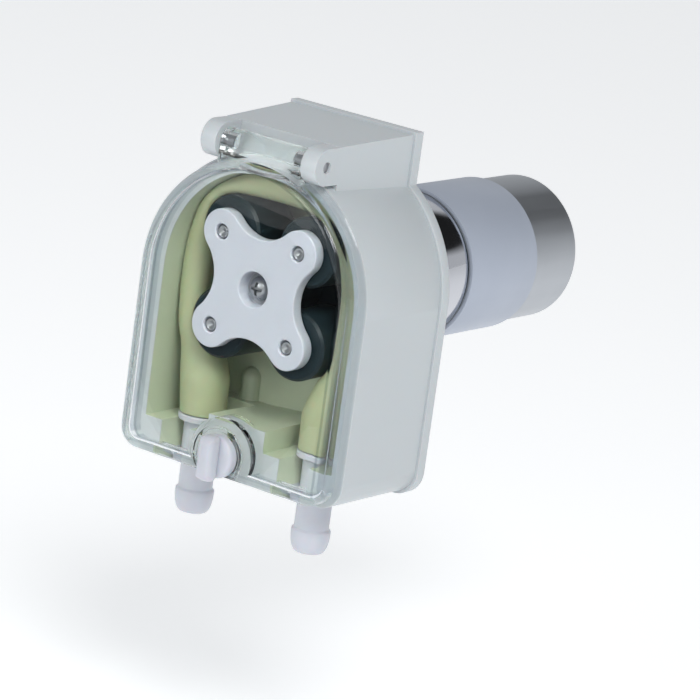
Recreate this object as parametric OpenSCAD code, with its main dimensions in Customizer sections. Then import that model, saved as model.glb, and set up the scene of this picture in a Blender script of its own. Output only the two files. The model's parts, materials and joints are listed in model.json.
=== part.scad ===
// Peristaltic pump head with a hinged clear cover, a four-roller rotor and a planetary gear motor.
// The frame: +Z up, the front faces -Y, the origin is where the drive axis meets the rear mounting face.

/* [Casing] */
// Half width of the casing, which is also the radius of its arch
casing_r = 30.6; // [30.4:0.1:31]
// Depth of the casing, from the cover's edge to the back plate
casing_depth = 27.7; // [27.5:0.1:28]
// Distance from the drive axis down to the casing's underside
casing_drop = 44; // [43.5:0.5:46]
// Radius of the casing's lower corners
corner_r = 6; // [4:0.5:8]
// Thickness of the back plate
plate_t = 2.8; // [2.6:0.1:3]
// Half width of the hinge block on top
block_half = 16.2; // [16:0.1:17]
// Height of the roof above the drive axis
roof_z = 35.9; // [35.8:0.1:36.2]

/* [Cover] */
// Depth of the clear cover
cover_depth = 6.2; // [6:0.1:6.4]
// Wall thickness of the clear cover
cover_wall = 2; // [1.8:0.1:2.2]
// Half width of the cover's front face
cover_r = 29.4; // [29.2:0.1:29.6]

/* [Rotor and tube] */
// Radius of the circle that the roller pins stand on
pin_circle_r = 15.2; // [15:0.1:15.4]
// Radius of a roller
roller_r = 8; // [7.8:0.1:8.1]
// Outer radius of the pump tube
tube_r = 4.5; // [4.4:0.1:4.6]
// Wall of the pump tube
tube_wall = 1.5; // [1.4:0.1:1.5]
// Half the distance between the two hose fittings
fitting_x = 17; // [16.8:0.1:17.2]

/* [Gear motor] */
// Outer radius of the gearbox
gearbox_r = 17.6; // [17.5:0.1:17.7]
// Outer radius of the motor can
can_r = 17.3; // [17.2:0.1:17.4]
// Length of the gearbox and motor behind the mounting face
drive_length = 73; // [72:0.5:76]
// Module of the gear teeth
gear_module = 0.6; // [0.6:0.1:0.6]

/* [Hidden] */
$fn = 64;

// Stations along Y, from the back plate forward
plate_y = -plate_t;
seam_y = plate_y - casing_depth;
cover_back_y = seam_y - 0.3;
cover_front_y = cover_back_y - cover_depth;
wall_front_y = -10;
wall_back_y = -6;

// Rotor stations and sizes
rotor_front_y = -31;
rotor_plate_t = 3;
roller_front_y = -27.7;
roller_len = 13.4;
rotor_back_y = -14;
rotor_back_t = 3;
hub_front_y = -24.6;
hub_r = 6;
recess_r = 4;
recess_floor_y = -27.6;
lobe_r = 5.2;
waist = 11.5;
roller_pin_r = 1.75;
shaft_r = 3;
rotor_screw_r = 1.5;
rotor_screw_hole_r = 1.65;
run_gap = 0.05;
roller_count = 4;
roller_angle = 45;

// Tube and raceway
tube_y = -21;
pinch_t = 2 * tube_wall;
contact_r = pin_circle_r + roller_r;
race_r = contact_r + pinch_t;
tube_gap = 0.15;
ledge_z = -31;
pocket_floor_z = 8 - casing_drop;

// Hinge
hinge_y = -32.5;
hinge_z = 31.6;
ear_r = 4.2;
ear_inner_x = 12;
barrel_half = 11.7;
barrel_r = 3.2;
hinge_pin_r = 1.3;
pin_inner_x = 8.6;
tab_t = 2.6;
tab_z = 24;
block_front_y = -28;
block_rear_half = block_half + 1.2;
roof_rise = 1.2;
plate_lip = 0.6;

// Latch
latch_z = -38;
latch_stem_r = 2.4;
latch_pin_y = -26.4;
latch_pin_r = 0.8;
latch_pin_half = 4.3;
latch_slot_half = 1.2;
latch_slot_back_y = -28;
knob_r = 5;
clip_r = 4;

// Gears: sun, planet and ring teeth of both stages
sun_teeth = 12;
planet_teeth = 18;
ring_teeth = 48;
planet_circle_r = gear_module * (sun_teeth + planet_teeth) / 2;
planet_angles = [90, 210, 330];
gear_w = 5.6;
output_stage_y = 4.6;
first_stage_y = 14.6;
planet_pin_r = 1.5;
carrier_r = 12.5;
centre_dimple_r = 2.5;
adapter_y = 26.6;
can_y = 27.6;
armature_shaft_r = 1.5;

// ---------- helpers ----------

// Extrudes a profile drawn in X and Z from y0 to y1
module slab(y0, y1) {
    translate([0, y1, 0]) rotate([90, 0, 0]) linear_extrude(y1 - y0) children();
}

// A cylinder along Y, at x and z
module rod_y(r, y0, y1, x = 0, z = 0) {
    translate([x, y1, z]) rotate([90, 0, 0]) cylinder(r = r, h = y1 - y0);
}

// A cone along Y from radius ra at y0 to radius rb at y1
module cone_y(ra, rb, y0, y1, x = 0, z = 0) {
    translate([x, y1, z]) rotate([90, 0, 0]) cylinder(r1 = rb, r2 = ra, h = y1 - y0);
}

// A ring along Y
module ring_y(r_out, r_in, y0, y1) {
    slab(y0, y1) difference() {
        circle(r_out);
        circle(r_in);
    }
}

// A cylinder along X
module rod_x(r, x0, x1, y, z) {
    translate([x0, y, z]) rotate([0, 90, 0]) cylinder(r = r, h = x1 - x0);
}

// An arch standing on a rounded rectangle, with its round top centred on the drive axis
module arch(r, drop, corner) {
    circle(r);
    translate([-r, corner - drop]) square([2 * r, drop - corner]);
    translate([corner - r, -drop]) square([2 * (r - corner), corner]);
    for (side = [-1, 1]) translate([side * (r - corner), corner - drop]) circle(corner);
}

// The same arch with the hinge block's rectangle above it
module arch_and_block(r, drop, corner, half, top) {
    arch(r, drop, corner);
    translate([-half, 0]) square([2 * half, top]);
}

// Copies a child to each of n places on a circle about the drive axis
module around(n, r, first) {
    for (i = [0 : n - 1]) {
        a = first + i * 360 / n;
        translate([r * cos(a), 0, r * sin(a)]) children();
    }
}

function on_circle(r, a) = [r * cos(a), r * sin(a)];

// ---------- casing ----------

ledge_wall = 8;
rib_x = 12.5;
rib_r = 2.4;
rib_top_z = -23.5;
neck_slot_depth = 9;
neck_slot_r = 4.2;
pilot_r = 6;
gearbox_screw_r = 14;
gearbox_screw_hole_r = 1.7;
head_sink = 2.4;
plate_screw_r = 1.35;
plate_screw_hole_r = 1.7;
plate_screw_head_r = 3;
panel_circle_r = 25.5;
insert_r = 2.6;
insert_bore_r = 1.65;
insert_len = 5.6;
roof_hollow_half = 10.5;
screw_spots = [[-26, -38.5], [26, -38.5], [-13.5, 33], [13.5, 33]];

module hinge_ear(side) {
    x0 = side > 0 ? ear_inner_x : -block_half;
    rod_x(ear_r, x0, x0 + block_half - ear_inner_x, hinge_y, hinge_z);
    translate([x0, hinge_y, hinge_z - ear_r])
        cube([block_half - ear_inner_x, block_front_y - hinge_y + 1, 2 * ear_r]);
}

// Block on top that widens and rises towards the back
module hinge_block() intersection() {
    linear_extrude(roof_z + roof_rise) polygon([
        [-block_half, block_front_y], [block_half, block_front_y],
        [block_rear_half, plate_y], [-block_rear_half, plate_y]
    ]);
    rotate([90, 0, 90]) translate([0, 0, -20]) linear_extrude(40) polygon([
        [block_front_y, 15], [plate_y, 15], [plate_y, roof_z + roof_rise], [block_front_y, roof_z]
    ]);
}

// Chamber with the round raceway above, open at the front
module chamber() {
    slab(seam_y - 5, wall_front_y) {
        circle(race_r);
        translate([-race_r, ledge_z]) square([2 * race_r, -ledge_z]);
    }
}

// Half-round rib with a domed top, on the chamber's back wall
module rib(side) translate([side * rib_x, wall_front_y, 0]) {
    translate([0, 0, ledge_z - 1]) cylinder(r = rib_r, h = rib_top_z - rib_r - ledge_z + 1);
    translate([0, 0, rib_top_z - rib_r]) sphere(r = rib_r);
}

// Pocket for one hose fitting, with the slot that its neck slides into
module fitting_pocket(side) {
    x0 = side > 0 ? ledge_wall : -race_r;
    translate([x0, seam_y - 5, pocket_floor_z])
        cube([race_r - ledge_wall, tube_y + 7 - seam_y + 5, ledge_z - pocket_floor_z + 1]);
    translate([side * fitting_x, tube_y, -casing_drop - 1])
        cylinder(r = neck_slot_r, h = neck_slot_depth + 1);
    translate([side * fitting_x - neck_slot_r, seam_y - 5, -casing_drop - 1])
        cube([2 * neck_slot_r, tube_y - seam_y + 5, neck_slot_depth + 1]);
}

// Slot and round cavity that take the latch's cross pin
module latch_socket() {
    rod_y(latch_stem_r + 0.6, seam_y - 1, -23, 0, latch_z);
    translate([-latch_slot_half, seam_y - 1, latch_z - latch_pin_half - 0.4])
        cube([2 * latch_slot_half, latch_slot_back_y - seam_y + 1.5, 2 * latch_pin_half + 0.8]);
    rod_y(latch_pin_half + 0.6, latch_slot_back_y, -24.6, 0, latch_z);
}

module casing() color([0.86, 0.88, 0.86]) difference() {
    union() {
        slab(seam_y, plate_y) arch(casing_r, casing_drop, corner_r);
        hinge_block();
        for (side = [-1, 1]) hinge_ear(side);
    }
    difference() {
        chamber();
        for (side = [-1, 1]) rib(side);
    }
    for (side = [-1, 1]) fitting_pocket(side);
    latch_socket();
    // Room for the cover's hinge barrel and tab
    rod_x(barrel_r + 0.6, -ear_inner_x, ear_inner_x, hinge_y, hinge_z);
    translate([-ear_inner_x, hinge_y - 6, hinge_z - barrel_r - 0.6])
        cube([2 * ear_inner_x, 6, barrel_r + 0.6]);
    // Hinge pin holes, a push fit on the pin
    rod_x(hinge_pin_r, -block_half - 1, block_half + 1, hinge_y, hinge_z);
    // Hollow under the roof, closed by the back plate
    translate([-roof_hollow_half, block_front_y + 2.4, race_r + 2.6])
        cube([2 * roof_hollow_half, 40, roof_z - race_r - 5]);
    // Hollow behind the ledge
    translate([-6, -20, ledge_z - 10]) cube([12, 40, 8]);
    // Seat of the gearbox, and its pilot hole
    rod_y(gearbox_r + 0.2, wall_back_y, 1);
    rod_y(pilot_r + 0.05, wall_front_y - 1, wall_back_y + 1);
    // Gearbox screws, sunk into the chamber's back wall
    around(4, gearbox_screw_r, 45) {
        rod_y(gearbox_screw_hole_r, wall_front_y - 1, wall_back_y + 1);
        rod_y(3.1, wall_front_y - 1, wall_front_y + head_sink);
    }
    // Back plate screws and panel inserts
    at_screws() rod_y(plate_screw_r + 0.05, -9.5, 1);
    around(4, panel_circle_r, 45) rod_y(insert_r, -insert_len, 1);
}

// ---------- back plate and its fasteners ----------

module at_screws() {
    for (p = screw_spots) translate([p[0], 0, p[1]]) children();
}

module back_plate() color([0.83, 0.85, 0.83]) difference() {
    slab(plate_y, 0) arch_and_block(casing_r + plate_lip, casing_drop + plate_lip, corner_r,
        block_rear_half + plate_lip, roof_z + roof_rise + plate_lip);
    rod_y(gearbox_r + 0.2, plate_y - 1, 1);
    at_screws() {
        rod_y(plate_screw_hole_r, plate_y - 1, 1);
        cone_y(plate_screw_hole_r, plate_screw_head_r + 0.2, -1.5, 0);
    }
    around(4, panel_circle_r, 45) rod_y(insert_r, plate_y - 1, 1);
}

module cross_recess(y, depth, x = 0, z = 0) {
    for (a = [0, 90]) translate([x, y, z]) rotate([0, a, 0])
        translate([-1.3, 0, -0.28]) cube([2.6, depth, 0.56]);
}

// A countersunk screw whose head is flush with y = 0, pointing forward
module back_plate_screw() {
    difference() {
        union() {
            cone_y(plate_screw_r, plate_screw_head_r, -1.6, -0.05);
            rod_y(plate_screw_r, -9, -1.5);
        }
        translate([0, -1.1, 0]) cross_recess(0, 2);
    }
}

module back_plate_screws() color([0.62, 0.63, 0.65]) {
    at_screws() back_plate_screw();
}

module panel_inserts() color([0.78, 0.62, 0.3])
    around(4, panel_circle_r, 45) difference() {
        rod_y(insert_r, -insert_len, 0);
        rod_y(insert_bore_r, -insert_len - 1, 1);
    }

// ---------- cover, hinge and latch ----------

boss_r = 8.6;
side_drop = casing_drop - 0.8;
lip_depth = 1.4;
lip_step = 0.9;
latch_seat_depth = 1.2;

module front_cover() color([0.8, 0.85, 0.75, 0.35]) difference() {
    union() {
        difference() {
            union() {
                slab(cover_front_y, cover_back_y) arch(cover_r, side_drop, corner_r);
                // Raised lip round the rear edge
                slab(cover_back_y - lip_depth, cover_back_y) arch(cover_r + lip_step, casing_drop, corner_r);
            }
            slab(cover_front_y + cover_wall, cover_back_y + 1)
                arch(cover_r - cover_wall, side_drop - cover_wall, corner_r - cover_wall);
        }
        // Boss for the latch, inside the outline
        slab(cover_front_y + 1, cover_back_y) intersection() {
            arch(cover_r - 0.5, side_drop - 0.7, corner_r);
            translate([0, latch_z]) circle(boss_r);
        }
        // Hinge barrel and the tab that hangs from it
        rod_x(barrel_r, -barrel_half, barrel_half, hinge_y, hinge_z);
        translate([-barrel_half, hinge_y - barrel_r, tab_z])
            cube([2 * barrel_half, tab_t, hinge_z - tab_z]);
    }
    // The lip stays clear of the ears and the casing
    rod_x(ear_r + 0.6, -block_half - 1, -ear_inner_x + 0.3, hinge_y, hinge_z);
    rod_x(ear_r + 0.6, ear_inner_x - 0.3, block_half + 1, hinge_y, hinge_z);
    slab(cover_front_y + cover_wall, cover_back_y + 1) intersection() {
        circle(cover_r - cover_wall);
        translate([-20, 0]) square([40, 40]);
    }
    // Hinge pin bore, a running fit, and the latch's bore and sunk seat
    for (side = [-1, 1]) hinge_stub(hinge_pin_r + run_gap, side, pin_inner_x - 0.3, 20);
    rod_y(latch_stem_r + run_gap, cover_front_y - 1, cover_back_y + 1, 0, latch_z);
    rod_y(knob_r + 0.4, cover_front_y - 1, cover_front_y + latch_seat_depth, 0, latch_z);
    // Room behind the boss for the clip
    rod_y(clip_r + 0.6, cover_back_y - 1.2, cover_back_y + 1, 0, latch_z);
}

// A length of hinge pin on one side, from a to b away from the centre plane
module hinge_stub(r, side, a, b) rod_x(r, side > 0 ? a : -b, side > 0 ? b : -a, hinge_y, hinge_z);

module hinge_pins() color([0.7, 0.71, 0.73])
    for (side = [-1, 1]) hinge_stub(hinge_pin_r, side, pin_inner_x, block_half - 0.6);

// Thumb-turn with a round base, a wing and a stem that reaches into the casing
module latch_knob() color([0.93, 0.93, 0.97]) translate([0, 0, latch_z]) difference() {
    union() {
        rod_y(knob_r, cover_front_y - 1.6, cover_front_y + 1);
        intersection() {
            rod_y(knob_r + 0.4, cover_front_y - 5.4, cover_front_y - 1);
            translate([-2, cover_front_y - 6, -6]) cube([4, 8, 12]);
        }
        rod_y(latch_stem_r, cover_front_y, -24.8);
    }
    // Groove for the clip and hole for the cross pin
    ring_y(clip_r, latch_stem_r - 0.5, cover_back_y - 1, cover_back_y - 0.3);
    cross_pin();
}

module cross_pin() translate([0, latch_pin_y, -latch_pin_half])
    cylinder(r = latch_pin_r, h = 2 * latch_pin_half);

module latch_cross_pin() color([0.7, 0.71, 0.73]) translate([0, 0, latch_z]) cross_pin();

module latch_clip() color([0.35, 0.36, 0.38]) translate([0, 0, latch_z])
    slab(cover_back_y - 0.95, cover_back_y - 0.35) difference() {
        circle(clip_r);
        circle(latch_stem_r - 0.45);
        translate([-1.2, 0]) square([2.4, clip_r + 2]);
    }

// ---------- rotor ----------

// Cross with four round lobes joined by hollow arcs
module lobed_outline() {
    half = pin_circle_r * cos(roller_angle);
    hollow_r = (half * half + pow(waist - half, 2) - lobe_r * lobe_r) / (2 * (lobe_r - waist + half));
    difference() {
        square(2 * half + 2 * lobe_r * cos(45), center = true);
        for (i = [0 : 3]) rotate(i * 90) translate([0, waist + hollow_r]) circle(hollow_r);
        for (i = [0 : 3]) rotate(i * 90 + 45)
            translate([pin_circle_r, -2 * lobe_r]) square([4 * lobe_r, 4 * lobe_r]);
    }
    for (i = [0 : 3]) rotate(i * 90 + 45) translate([pin_circle_r, 0]) circle(lobe_r);
}

module rotor_front_plate() color([0.92, 0.93, 0.97]) difference() {
    union() {
        slab(rotor_front_y, rotor_front_y + rotor_plate_t) lobed_outline();
        rod_y(hub_r, rotor_front_y + 1, hub_front_y);
    }
    rod_y(recess_r, rotor_front_y - 1, recess_floor_y);
    rod_y(rotor_screw_hole_r, recess_floor_y - 1, hub_front_y + 1);
    around(roller_count, pin_circle_r, roller_angle)
        rod_y(roller_pin_r, rotor_front_y - 1, rotor_front_y + rotor_plate_t + 1);
}

module shaft_profile(r) difference() {
    circle(r);
    translate([-r, r - 0.6]) square([2 * r, 2]);
}

module rotor_back_plate() color([0.08, 0.09, 0.1]) difference() {
    union() {
        slab(rotor_back_y, rotor_back_y + rotor_back_t) lobed_outline();
        rod_y(hub_r + 0.5, hub_front_y, rotor_back_y + rotor_back_t);
    }
    slab(hub_front_y - 1, rotor_back_y + rotor_back_t + 1) shaft_profile(shaft_r + 0.02);
    around(roller_count, pin_circle_r, roller_angle)
        rod_y(roller_pin_r, rotor_back_y - 1, rotor_back_y + rotor_back_t - 0.6);
}

module at_roller(i) {
    a = roller_angle + (i - 1) * 90;
    translate([pin_circle_r * cos(a), 0, pin_circle_r * sin(a)]) children();
}

module roller(i) color([0.1, 0.11, 0.12]) at_roller(i) difference() {
    union() {
        rod_y(roller_r, roller_front_y + 0.6, roller_front_y + roller_len - 0.6);
        cone_y(roller_r - 0.6, roller_r, roller_front_y, roller_front_y + 0.6);
        cone_y(roller_r, roller_r - 0.6, roller_front_y + roller_len - 0.6, roller_front_y + roller_len);
    }
    rod_y(roller_pin_r + run_gap, roller_front_y - 1, roller_front_y + roller_len + 1);
}

module roller_pin(i) color([0.68, 0.7, 0.72]) at_roller(i) {
    rod_y(roller_pin_r, rotor_front_y + 0.5, rotor_back_y + rotor_back_t - 0.6);
    cone_y(roller_pin_r - 0.5, roller_pin_r, rotor_front_y, rotor_front_y + 0.5);
}

module rotor_washer() color([0.72, 0.73, 0.75])
    ring_y(recess_r - 0.4, rotor_screw_hole_r, recess_floor_y - 0.4, recess_floor_y);

module rotor_screw() color([0.75, 0.76, 0.78]) difference() {
    union() {
        rod_y(rotor_screw_r, recess_floor_y - 0.5, -17);
        intersection() {
            rod_y(2.8, recess_floor_y - 2.4, recess_floor_y - 0.4);
            translate([0, recess_floor_y + 1.2, 0]) sphere(r = 3.6);
        }
    }
    translate([0, recess_floor_y - 3.4, 0]) cross_recess(0, 2.2);
}

// ---------- pump tube and fittings ----------

tube_sides = 12;
arc_steps = 48;
leg_steps = 14;
stretched_r = 5.4;
collar_h = 1.5;
collar_r = 5.6;
spigot_r = 3.85;
spigot_top_z = -26.4;
bore_r = 2.2;
barb_r = 4.5;
neck_r = 4;
barb_reach = 14;

pin_half = pin_circle_r * cos(roller_angle);
tangent_angle = atan(pin_half / (pin_half + roller_r));
// Outer edge of a roller seen from the drive axis, at angle a away from the roller's centre
function roller_edge(a) = pin_circle_r * cos(a) + sqrt(roller_r * roller_r - pow(pin_circle_r * sin(a), 2));
// Angle from the nearest quarter turn, where the tube runs straight between two rollers
function from_quarter(a) = a - 90 * round(a / 90);
// Angle from the nearest roller
function from_roller(a) = from_quarter(a - roller_angle);
// How far the tube's inner side stands from the drive axis, at angle a round the raceway
function tube_inner_r(a) = tube_gap + (abs(from_quarter(a)) < tangent_angle
    ? (pin_half + roller_r) / cos(from_quarter(a))
    : roller_edge(from_roller(a)));
// Thickness along the squeeze, and the width that keeps the tube's girth
function squeezed_t(a) = race_r - tube_gap - tube_inner_r(a);
function width_for(t, r) = t + PI * (2 * r - t) / 2;

// A flattened ring: half thickness p, half width q, as a point list round the section
function section(p, q, n) = [
    for (i = [0 : n - 1]) let (a = 360 * (i + 0.5) / n, flat = max(q - p, 0))
        [p * cos(a), p * sin(a) + (sin(a) >= 0 ? flat : -flat)]
];

// Rings down one leg, from the raceway to the fitting:
// [x, z, lean angle, half thickness, half width, wall]
leg_start = race_r - tube_gap - squeezed_t(180) / 2;
leg_end_z = pocket_floor_z + collar_h + 0.3;
lean_top_z = -2;
lean_end_z = -26;
spread_per_mm = 0.2;
stretch_z = -24.5;
// Gap kept round the lower roller, wider than tube_gap as the rings stand a few millimetres apart
leg_gap = 0.35;
function roller_side(z) = let (r = roller_r + leg_gap)
    abs(z + pin_half) < r ? pin_half + sqrt(r * r - pow(z + pin_half, 2)) : 0;
function leg_x(z) = let (u = min(1, max(0, (z - lean_top_z) / (lean_end_z - lean_top_z))))
    leg_start + (fitting_x - leg_start) * u * u * (3 - 2 * u);
function leg_inner(z) = z > -pin_half
    ? tube_gap + pin_half + roller_r : max(leg_x(z) - tube_r, roller_side(z));
function leg_ring(u) =
    let (z = u * leg_end_z,
         outer = min(race_r - tube_gap, leg_x(z) + tube_r),
         t = outer - leg_inner(z),
         r = z < stretch_z ? min(stretched_r, tube_r + (stretch_z - z) * spread_per_mm) : 0)
    [(outer + leg_inner(z)) / 2, z, 0, max(t / 2, r), max(width_for(t, tube_r) / 2, r), tube_wall];

function arc_ring(a) = let (t = squeezed_t(a))
    [(race_r - tube_gap - t / 2) * cos(a), (race_r - tube_gap - t / 2) * sin(a), a,
     t / 2, width_for(t, tube_r) / 2, tube_wall];

// The whole run: right leg upward, over the top, and down the left leg
tube_run = concat(
    [for (i = [0 : leg_steps]) leg_ring(1 - i / (leg_steps + 1))],
    [for (i = [0 : arc_steps]) arc_ring(180 * i / arc_steps)],
    [for (i = [1 : leg_steps + 1]) let (g = leg_ring(i / (leg_steps + 1)))
        [-g[0], g[1], 180, g[3], g[4], g[5]]]
);

function place(ring, pt) = [
    ring[0] + pt[0] * cos(ring[2]), tube_y + pt[1], ring[1] + pt[0] * sin(ring[2])
];
function hollow(ring) = [max(ring[3] - ring[5], 0.08), max(ring[4] - ring[5], 0.3)];

module pump_tube() color([0.82, 0.85, 0.68]) {
    n = tube_sides;
    m = len(tube_run);
    outer = [for (g = tube_run) for (p = section(g[3], g[4], n)) place(g, p)];
    inner = [for (g = tube_run) let (h = hollow(g)) for (p = section(h[0], h[1], n)) place(g, p)];
    off = m * n;
    skin = [for (j = [0 : m - 2]) for (i = [0 : n - 1]) let (k = (i + 1) % n)
        for (f = [[j * n + i, j * n + k, (j + 1) * n + k], [j * n + i, (j + 1) * n + k, (j + 1) * n + i]]) f];
    lumen = [for (f = skin) [off + f[0], off + f[2], off + f[1]]];
    last = (m - 1) * n;
    ends = [for (i = [0 : n - 1]) let (k = (i + 1) % n)
        for (f = [[i, off + k, k], [i, off + i, off + k],
                  [last + i, last + k, off + last + k], [last + i, off + last + k, off + last + i]]) f];
    polyhedron(points = concat(outer, inner), faces = concat(skin, lumen, ends), convexity = 8);
}

// One hose fitting: collar on the pocket's floor, spigot for the pump tube, barb for the hose below
module fitting(side) color([0.9, 0.9, 0.96]) translate([side * fitting_x, tube_y, 0])
    rotate_extrude() {
        base = pocket_floor_z;
        tip = -casing_drop - barb_reach;
        polygon([
            [bore_r, tip], [neck_r - 0.6, tip], [neck_r + 0.1, tip + 1.1], [barb_r, tip + 3.4],
            [barb_r, tip + 5.4], [neck_r, tip + 6], [neck_r, base], [collar_r, base],
            [collar_r, base + collar_h], [spigot_r, base + collar_h], [spigot_r, spigot_top_z - 2.4],
            [2.9, spigot_top_z], [bore_r, spigot_top_z]
        ]);
    }

// ---------- gearbox ----------

faceplate_t = 3;
bearing_r = 5;
gearbox_screw_core_r = 1.25;
pressure_angle = 20;
flank_steps = 3;
backlash = 0.1;

function inv_angle(r, rb) = let (a = acos(min(1, rb / r))) tan(a) * 180 / PI - a;
// Half the angle that a tooth covers at radius r
function half_tooth(r, rp, rb, z, slack) =
    90 / z - slack * 90 / (PI * rp) + inv_angle(rp, rb) - inv_angle(max(r, rb), rb);

// Tooth outline of an involute gear, one tooth centred on angle 0
module gear_outline(z, add, ded, slack) {
    rp = gear_module * z / 2;
    rb = rp * cos(pressure_angle);
    tip = rp + add * gear_module;
    root = rp - ded * gear_module;
    low = max(root + 0.02, rb);
    radii = concat([root], [for (i = [0 : flank_steps]) low + (tip - low) * i / flank_steps]);
    count = len(radii);
    polygon([for (k = [0 : z - 1]) for (i = [0 : 2 * count - 1])
        let (j = i < count ? i : 2 * count - 1 - i, s = i < count ? -1 : 1)
        on_circle(radii[j], k * 360 / z + s * half_tooth(radii[j], rp, rb, z, slack))]);
}

module gearbox_faceplate() color([0.75, 0.76, 0.78]) difference() {
    union() {
        rod_y(gearbox_r, wall_back_y, wall_back_y + faceplate_t);
        rod_y(pilot_r, wall_front_y + 1, wall_back_y + 1);
    }
    rod_y(bearing_r, wall_front_y, wall_back_y + faceplate_t + 1);
    around(4, gearbox_screw_r, 45)
        rod_y(gearbox_screw_core_r, wall_back_y - 1, wall_back_y + faceplate_t + 1);
}

module output_bearing() color([0.66, 0.52, 0.3])
    ring_y(bearing_r - 0.02, shaft_r + run_gap, wall_front_y + 1.2, wall_back_y + faceplate_t);

// A pan-head screw with its head at the front
module gearbox_screw() difference() {
    union() {
        rod_y(gearbox_screw_core_r - 0.01, wall_front_y + 2.3, wall_back_y + faceplate_t);
        rod_y(2.7, wall_front_y + 0.4, wall_front_y + head_sink);
    }
    translate([0, wall_front_y + 0.3, 0]) cross_recess(0, 1.1);
}

module gearbox_screws() color([0.6, 0.61, 0.63]) around(4, gearbox_screw_r, 45) gearbox_screw();

module gearbox_housing() color([0.8, 0.81, 0.84]) slab(wall_back_y + faceplate_t, adapter_y) difference() {
    circle(gearbox_r);
    rotate(180 / ring_teeth) gear_outline(ring_teeth, 1.1, 0.8, -backlash);
}

// Disc with three pins for planets behind it
module carrier_disc(y) {
    difference() {
        rod_y(carrier_r, y - 3.6, y - 0.6);
        rod_y(centre_dimple_r, y - 1.2, y);
    }
    for (a = planet_angles) translate([planet_circle_r * cos(a), 0, planet_circle_r * sin(a)])
        rod_y(planet_pin_r, y - 1, y + gear_w + 0.2);
}

module output_carrier() color([0.72, 0.73, 0.76]) difference() {
    union() {
        carrier_disc(output_stage_y);
        slab(hub_front_y, output_stage_y - 2) shaft_profile(shaft_r);
    }
    rod_y(rotor_screw_r, hub_front_y - 1, -16.5);
}

module first_stage_carrier() color([0.72, 0.73, 0.76]) {
    carrier_disc(first_stage_y);
    slab(output_stage_y + 0.2, first_stage_y - 3) gear_outline(sun_teeth, 0.8, 1.1, backlash);
}

module planet_gear(i) color([0.86, 0.86, 0.82]) {
    a = planet_angles[(i - 1) % 3];
    y = i <= 3 ? output_stage_y : first_stage_y;
    translate([planet_circle_r * cos(a), 0, planet_circle_r * sin(a)]) slab(y, y + gear_w) difference() {
        gear_outline(planet_teeth, 0.8, 1.1, backlash);
        circle(planet_pin_r + run_gap);
    }
}

module sun_gear() color([0.8, 0.68, 0.35]) slab(first_stage_y + 0.2, first_stage_y + gear_w + 0.6)
    difference() {
        gear_outline(sun_teeth, 0.8, 1.1, backlash);
        circle(armature_shaft_r);
    }

// ---------- motor ----------

can_wall = 1.2;
bush_r = 3.6;
flux_ring_len = 26.8;
terminal_x = 10;
brush_x = 6.9;
cap_y = drive_length - 3;

module motor_adapter() color([0.1, 0.11, 0.12]) difference() {
    union() {
        rod_y(13.2, adapter_y - 4.6, adapter_y + 0.5);
        rod_y(can_r - 0.2, adapter_y, can_y);
    }
    rod_y(bush_r + 0.6, adapter_y - 6, can_y + 1);
}

module motor_can() color([0.8, 0.81, 0.84]) difference() {
    union() {
        rod_y(can_r, can_y, drive_length - 0.8);
        cone_y(can_r, can_r - 0.8, drive_length - 0.8, drive_length);
    }
    rod_y(can_r - can_wall, can_y + can_wall, drive_length + 1);
    rod_y(bush_r, can_y - 1, can_y + 3);
}

module flux_ring() color([0.72, 0.76, 0.84])
    ring_y(can_r + 0.9, can_r + 0.02, can_y + 0.1, can_y + 0.1 + flux_ring_len);

module motor_end_cap() color([0.12, 0.13, 0.14]) difference() {
    union() {
        rod_y(can_r - can_wall - 0.03, cap_y, drive_length - 0.6);
        rod_y(5.6, cap_y - 1, drive_length + 1.6);
        for (side = [-1, 1]) brush_holder(side);
    }
    rod_y(bush_r, cap_y - 2, cap_y + 3.4);
    rod_y(armature_shaft_r + 0.4, cap_y, drive_length + 3);
    for (side = [-1, 1]) terminal_slot(side);
}

module brush_holder(side) translate([side * brush_x - 2.2, commutator_y + 4, -2])
    cube([4.4, cap_y - commutator_y - 3, 4]);

module terminal_slot(side) translate([side * terminal_x - 0.4, cap_y - 1, -1.4]) cube([0.8, 12, 2.8]);

module motor_terminals() color([0.8, 0.72, 0.45]) for (side = [-1, 1]) difference() {
    translate([side * terminal_x - 0.4, cap_y, -1.4]) cube([0.8, 9.5, 2.8]);
    rod_x(0.6, side * terminal_x - 2, side * terminal_x + 2, drive_length + 4.4, 0);
}

module motor_bushes() color([0.66, 0.52, 0.3]) {
    ring_y(bush_r - 0.01, armature_shaft_r + run_gap, can_y, can_y + 2.6);
    ring_y(bush_r - 0.01, armature_shaft_r + run_gap, cap_y - 0.8, cap_y + 2.6);
}

magnet_y = can_y + 5.4;
magnet_len = 28;
magnet_inner_r = 12;

module stator_magnets() color([0.2, 0.2, 0.22]) slab(magnet_y, magnet_y + magnet_len) difference() {
    circle(can_r - can_wall - 0.05);
    circle(magnet_inner_r);
    for (a = [0, 180]) rotate(a) polygon([[0, 0], [30, -15], [30, 15]]);
}

module armature_shaft() color([0.74, 0.75, 0.77])
    rod_y(armature_shaft_r, first_stage_y + 0.4, drive_length + 0.6);

core_r = 11.4;
slot_r = 7.6;
winding_r = 1.85;
slot_angles = [for (i = [0 : 4]) 90 + 72 * i];

module armature_core() color([0.5, 0.5, 0.52]) slab(magnet_y + 3, magnet_y + magnet_len - 3) difference() {
    circle(core_r);
    circle(armature_shaft_r);
    for (a = slot_angles) rotate(a) {
        translate([slot_r, 0]) circle(winding_r + 0.05);
        translate([slot_r, -0.7]) square([6, 1.4]);
    }
}

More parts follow.
